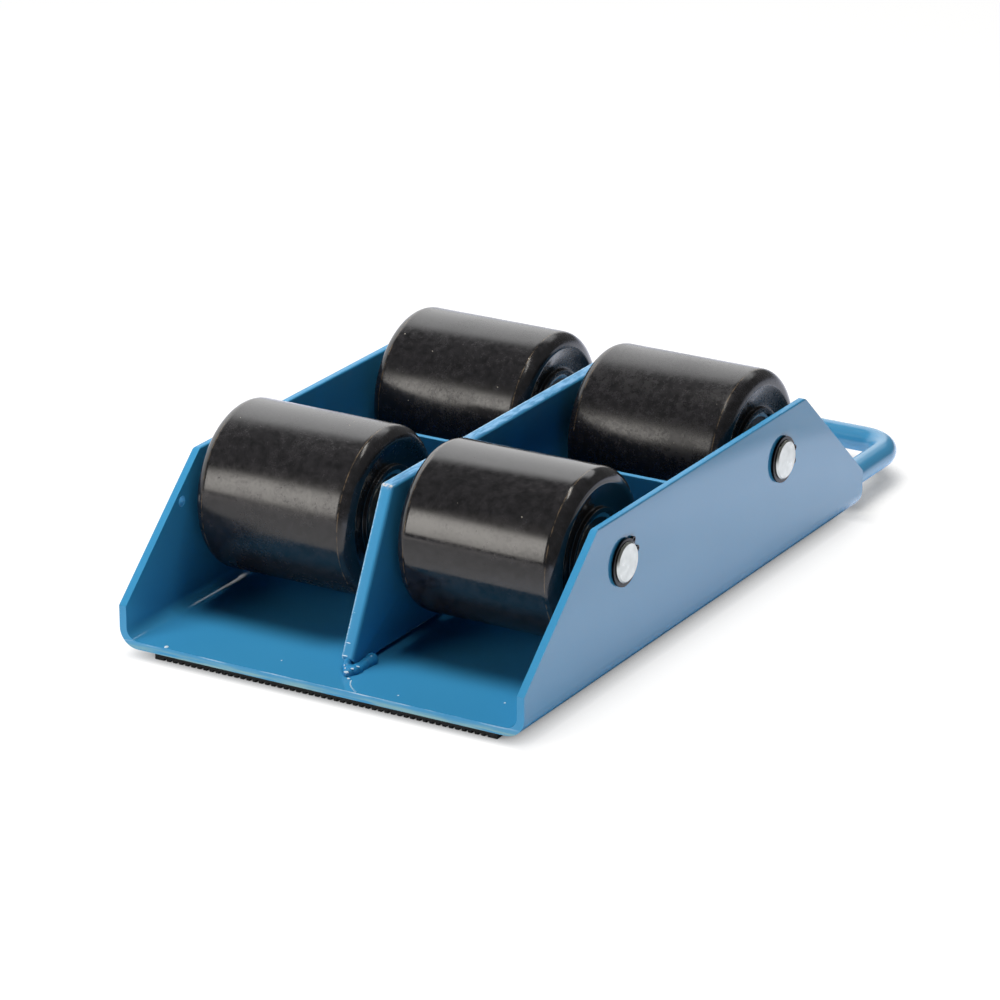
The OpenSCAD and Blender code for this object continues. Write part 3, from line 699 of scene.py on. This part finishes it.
# The thick divider, torch cut: a crisp left arris, a well rounded right one, most of all at its foot
dividerLook = {"edge": 0.4 * mm, "rightEdge": 1.7 * mm, "rightFoot": 2.6 * mm, "segments": 6}
footTop, slopeFrom = dividerLow.z + 0.01 * mm, dividerLow.z + 4 * mm
rightSide = dividerHigh.x - 0.01 * mm
mesh = copyOfNode("divider_plate")
for face in mesh.faces:
    if abs(face.normal.x) < 0.01:
        face.material_index = 1
bevelWhere(mesh, lambda spot: spot.x > rightSide and spot.z < footTop, dividerLook["rightFoot"],
           dividerLook["segments"])
bevelWhere(mesh, lambda spot: spot.x > rightSide and spot.z > slopeFrom, dividerLook["rightEdge"],
           dividerLook["segments"])
divider = newPiece(mesh, "dividerPlate", (enamel, scuffedAndHighlightedEnamel), "frame", ("divider_plate",),
                   30)
roundEdges(divider, dividerLook["edge"])

# Dust nibs on the floor, short runs of enamel on the divider's front edge, and pale blobs on the weld that
# are painted highlights for its glints: place, half sizes, all in mm
nibAndGlintLook = {
    "nibsAndGlints": (
        ((-86.5, -171.8, 9.0), (1.0, 1.3, 0.5)), ((87.2, -148.4, 9.0), (0.5, 0.6, 0.3)),
        ((-30, -158, 9.0), (0.35, 0.45, 0.2)), ((40, -166, 9.0), (0.4, 0.5, 0.25)),
        ((1.9, -148.7, 21.4), (1.4, 0.3, 0.28)), ((1.4, -142.2, 34.4), (1.0, 0.25, 0.25)),
        ((0.4, -145.6, 27.6), (0.4, 0.25, 0.7)), ((1.6, -151.6, 15.8), (1.5, 0.35, 0.3)),
        # from (6.8, -158.8, 11.1) to (9.4, -152.6, 12.3) the pale blobs on the weld are painted glints
        ((2.4, -126.0, 67.0), (0.35, 0.2, 0.3)), ((6.8, -158.8, 11.1), (1.3, 0.7, 0.6)),
        ((8.3, -156.0, 12.2), (0.9, 0.35, 0.35)), ((5.0, -156.9, 12.0), (0.4, 0.3, 0.5)),
        ((3.6, -155.2, 12.6), (0.35, 0.3, 0.5)), ((9.4, -152.6, 12.3), (1.1, 0.3, 0.3)),
        ((9.4, -160.9, 9.2), (0.9, 0.5, 0.35)),
    ),
    "runDrops": 16,  # a thin run of enamel from the weld towards the front edge
    "runStart": (11.5, -162, 9.0),
    "runReach": (9, -10.5),
    "runBow": 1.5,
    "runSize": (0.2, 0.6, 0.1),
}
nibsAndGlints = list(nibAndGlintLook["nibsAndGlints"])
x, y, z = nibAndGlintLook["runStart"]
reachX, reachY = nibAndGlintLook["runReach"]
for number in range(nibAndGlintLook["runDrops"]):
    along = number / (nibAndGlintLook["runDrops"] - 1)
    bow = nibAndGlintLook["runBow"] * math.sin(along * math.pi)
    nibsAndGlints.append(((x + reachX * along - bow, y + reachY * along, z), nibAndGlintLook["runSize"]))
mesh = bmesh.new()
for place, sizes in nibsAndGlints:
    shape = Matrix.Translation(Vector(place) * mm) @ Matrix.Diagonal([size * mm for size in sizes] + [1.0])
    bmesh.ops.create_icosphere(mesh, subdivisions=3, radius=1.0, matrix=shape)
# pale nibs and runs, and the weld's painted glints, in one piece
newPiece(mesh, "enamelNibsAndPaintedGlints", (nibAndGlintEnamel,), "frame", ())

crossLook = {"edge": 0.4 * mm}
for name in ("left", "right"):
    mesh = copyOfNode(name + "_cross_plate")
    for face in mesh.faces:
        if abs(face.normal.y) < 0.01:
            face.material_index = 1
    cross = newPiece(mesh, name + "CrossPlate", (enamel, cutEnamel), "frame", (name + "_cross_plate",),
                     30)
    roundEdges(cross, crossLook["edge"])
print("plates are made")

# The tow bar: one round bar, bent twice
barLook = {"radius": 6.75 * mm, "bend": 18 * mm, "segments": 36, "turns": 16, "edge": 0.8 * mm}
barLow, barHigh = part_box("tow_handle")


def extrudeFaces(mesh, faces, move):
    made = bmesh.ops.extrude_face_region(mesh, geom=faces)["geom"]
    bmesh.ops.translate(mesh, verts=[item for item in made if isinstance(item, bmesh.types.BMVert)], vec=move)
    return [item for item in made if isinstance(item, bmesh.types.BMFace)]


def turnFaces(mesh, faces, centre, steps):
    made = bmesh.ops.spin(mesh, geom=faces, cent=centre, axis=(0, 0, -1), angle=math.pi / 2, steps=steps)
    return [item for item in made["geom_last"] if isinstance(item, bmesh.types.BMFace)]


mesh = bmesh.new()
radius, bend = barLook["radius"], barLook["bend"]
barZ = (barLow.z + barHigh.z) / 2
legX = barHigh.x - radius
bendY = barHigh.y - radius - bend
start = Matrix.Translation((-legX, barLow.y, barZ)) @ Matrix.Rotation(-math.pi / 2, 4, "X")
bmesh.ops.create_circle(mesh, cap_ends=True, segments=barLook["segments"], radius=radius, matrix=start)
tip = extrudeFaces(mesh, mesh.faces[:], (0, bendY - barLow.y, 0))
tip = turnFaces(mesh, tip, (-legX + bend, bendY, barZ), barLook["turns"])
tip = extrudeFaces(mesh, tip, (2 * (legX - bend), 0, 0))
tip = turnFaces(mesh, tip, (legX - bend, bendY, barZ), barLook["turns"])
extrudeFaces(mesh, tip, (0, barLow.y - bendY, 0))
towBar = newPiece(mesh, "towBar", (barEnamel,), "frame", ("tow_handle",), 40)
roundEdges(towBar, barLook["edge"], 40)

# The ribbed mat glued under the channel
padLook = {"edge": 0.22 * mm}
mesh = copyOfNode("rubber_pad")
pad = newPiece(mesh, "ribbedPad", (padRubber,), "frame", ("rubber_pad",), 30)
roundEdges(pad, padLook["edge"], 40)
print("tow bar and pad are made")

# Weld beads grown from overlapping drops, then melted together under their enamel; tacks are in mm
weldLook = {
    "voxel": 0.45 * mm,
    "smooth": 4,
    "sink": 0.6 * mm,  # how far a bead reaches into the sheet
    "tackBead": ((7.5, -153.6, 0.8), (7.8, -140.4, 0.9), 3.4),
    "tackStep": 2.7 * mm,
    "tackDrops": ((7.9, -138.4, 1.1, 4.0), (6.6, -156.2, 0.6, 3.1), (5.0, -154.6, 1.0, 2.9),
                  (3.4, -153.4, 2.2, 2.3), (3.2, -151.6, 4.2, 2.0), (1.9, -151.4, 3.0, 1.6)),
    "bead": 2.3 * mm,
    "beadStep": 1.7 * mm,
    "beadLength": 24 * mm,
    "barBead": 3.0 * mm,
    "barSides": (-5.6 * mm, 5.2 * mm),
}


def meltDrops(name, drops, node):
    mesh = bmesh.new()
    for place, size in drops:
        shape = Matrix.Translation(place) @ Matrix.Rotation(random.uniform(0, 3), 4, "Z")
        shape = shape @ Matrix.Diagonal((1.0, 0.88, 0.94, 1.0))
        bmesh.ops.create_icosphere(mesh, subdivisions=3, radius=size, matrix=shape)
    piece = newPiece(mesh, name, (weldEnamel,), "frame", (node,))
    melt = piece.modifiers.new("melt", "REMESH")
    melt.mode = "VOXEL"
    melt.voxel_size = weldLook["voxel"]
    settle = piece.modifiers.new("settle", "SMOOTH")
    settle.factor = 0.6
    settle.iterations = weldLook["smooth"]
    graph = bpy.context.evaluated_depsgraph_get()
    data = bpy.data.meshes.new_from_object(piece.evaluated_get(graph))
    piece.modifiers.clear()
    piece.data = data
    data.materials.clear()
    data.materials.append(weldEnamel)
    # what would lie inside the sheet is cut away
    mesh = bmesh.new()
    mesh.from_mesh(data)
    everything = mesh.verts[:] + mesh.edges[:] + mesh.faces[:]
    cut = bmesh.ops.bisect_plane(mesh, geom=everything, plane_co=(0, 0, floorZ - weldLook["sink"]),
                                 plane_no=(0, 0, -1), clear_outer=True)["geom_cut"]
    bmesh.ops.holes_fill(mesh, edges=[item for item in cut if isinstance(item, bmesh.types.BMEdge)], sides=0)
    for face in mesh.faces:
        face.smooth = True
    mesh.to_mesh(data)
    mesh.free()


def beadDrops(start, end, size, step):
    # a line of ripples, each a little off the last
    start, end = Vector(start), Vector(end)
    count = max(2, round((end - start).length / step))
    drops = []
    for number in range(count + 1):
        wobble = Vector([random.uniform(-0.25, 0.25) * mm for axis in range(3)])
        drops.append((start.lerp(end, number / count) + wobble, size * random.uniform(0.9, 1.12)))
    return drops


for place, way in (("front", 1), ("rear", -1)):
    start, end, size = weldLook["tackBead"]
    ends = [Vector((x, way * y, z)) * mm + Vector((0, 0, floorZ)) for x, y, z in (start, end)]
    drops = beadDrops(ends[0], ends[1], size * mm, weldLook["tackStep"])
    for x, y, z, size in weldLook["tackDrops"]:
        drops.append((Vector((x * mm, way * y * mm, floorZ + z * mm)), size * mm))
    meltDrops(place + "DividerWeld", drops, "divider_" + place + "_weld")

drops = []
bead, step, reach = weldLook["bead"], weldLook["beadStep"], weldLook["beadLength"] / 2
for name in ("left", "right"):
    low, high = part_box(name + "_cross_plate")
    middleX, middleZ = (low.x + high.x) / 2, (low.z + high.z) / 2
    beadZ = floorZ + 0.4 * mm
    for y in (low.y - 0.7 * mm, high.y + 0.7 * mm):
        drops += beadDrops((middleX - reach, y, beadZ), (middleX + reach, y, beadZ), bead, step)
        for x in (low.x + 0.5 * mm, high.x - 0.5 * mm):
            drops += beadDrops((x, y, middleZ - reach), (x, y, middleZ + reach), bead, step)
meltDrops("crossPlateWelds", drops, "cross_plate_welds")

drops = []
beadZ = floorZ + 1.2 * mm
for side in (-1, 1):
    for offset in weldLook["barSides"]:
        x = side * (legX + offset)
        drops += beadDrops((x, barLow.y + 8 * mm, beadZ), (x, channelHigh.y - 5 * mm, beadZ),
                           weldLook["barBead"], step)
meltDrops("towBarWelds", drops, "handle_welds")
print("welds are made")

# Rollers: cast nylon turned to shape, with a dished face and a hub lip round the bearing seat
rollerLook = {
    "shoulder": 7 * mm,
    "dish": ((35.0, 0.0), (31.8, -1.4), (28.6, -2.35), (26.0, -2.85), (23.7, -3.0)),  # radius and depth in mm
    "lipRadius": 23.7 * mm,
    "lipDrop": 0.4 * mm,
    "seatRadius": 21.04 * mm,
    "seatDepth": 13.5 * mm,
    "boreRadius": 17.65 * mm,
    "steps": 144,
}


def makeRoller(name, look):
    low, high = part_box(name + "_roller")
    centre = (low + high) / 2
    half = (high.x - low.x) / 2
    outer = (high.z - low.z) / 2
    face = half - look["lipDrop"]
    seat = face - look["seatDepth"]
    side = [(look["boreRadius"], seat), (look["seatRadius"], seat), (look["seatRadius"], face)]
    side += [(look["lipRadius"], face)]
    side += [(radius * mm, half + depth * mm) for radius, depth in reversed(look["dish"])] + [(outer, half)]
    profile = side + [(radius, -x) for radius, x in reversed(side)]
    mesh = bmesh.new()
    outlineOf(mesh, [centre + Vector((x, 0, radius)) for radius, x in profile], True)
    spinRound(mesh, centre, look["steps"])
    dishRadius, dishDepth = look["dish"][0][0] * mm, look["dish"][-1][1] * mm
    for way in (-1, 1):
        end, lip = centre.x + way * half, centre.x + way * face
        roundLoops(mesh, centre, end, outer, look["shoulder"], 12)
        roundLoops(mesh, centre, end, dishRadius, 0.45 * mm, 2)
        roundLoops(mesh, centre, centre.x + way * (half + dishDepth), look["lipRadius"], 0.5 * mm, 3)
        roundLoops(mesh, centre, lip, look["lipRadius"], 0.45 * mm, 3)
        roundLoops(mesh, centre, lip, look["seatRadius"], 0.4 * mm, 2)
    newPiece(mesh, name + "Tyre", (nylon[name],), name + "_roller_set", (name + "_roller",),
             40)


for name in rollerNames:
    makeRoller(name, rollerLook)
print("rollers are made")

# Axles: drawn bar with a groove and a chamfer at each end, and the circlips that hold them
axleLook = {
    "radius": 10 * mm,
    "chamfer": 0.8 * mm,
    "groove": 0.5 * mm,
    "grooveIn": 2.55 * mm,
    "grooveOut": 1.25 * mm,
    "steps": 96,
    "edge": 0.12 * mm,
    "clipEdge": 0.14 * mm,
}
for end in ("front", "rear"):
    low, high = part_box(end + "_axle")
    centre = (low + high) / 2
    half = high.x - centre.x
    radius, chamfer = axleLook["radius"], axleLook["chamfer"]
    grooved = radius - axleLook["groove"]
    inner, outer = half - axleLook["grooveIn"], half - axleLook["grooveOut"]
    side = [(0, half), (radius - chamfer, half), (radius, half - chamfer), (radius, outer)]
    side += [(grooved, outer), (grooved, inner), (radius, inner)]
    profile = side + [(r, -x) for r, x in reversed(side)]
    mesh = bmesh.new()
    outlineOf(mesh, [centre + Vector((x, 0, r)) for r, x in profile], False)
    spinRound(mesh, centre, axleLook["steps"])
    axle = newPiece(mesh, end + "Axle", (zinc,), end + "_axle_set", (end + "_axle",), 30)
    roundEdges(axle, axleLook["edge"])

for name in rollerNames:
    node = name + "_circlip"
    body = frame["nodes"][node]["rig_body"]
    clip = newPiece(copyOfNode(node), name + "Circlip", (springSteel,), body, (node,), 30)
    roundEdges(clip, axleLook["clipEdge"])
print("axles and circlips are made")

# The CAD nodes that stay in view take the same finishes
finishes = {
    "outer_rings": bearingSteel,
    "inner_rings": bearingSteel,
    "balls": bearingSteel,
    "ball_cages": cageSteel,
    "seals": sealRubber,
    "spacer_tube": zinc,
    "side_bushes": zinc,
}
for name, node in frame["nodes"].items():
    for ending, material in finishes.items():
        if name.endswith(ending):
            node.data.materials.clear()
            node.data.materials.append(material)
print("bearings are finished")
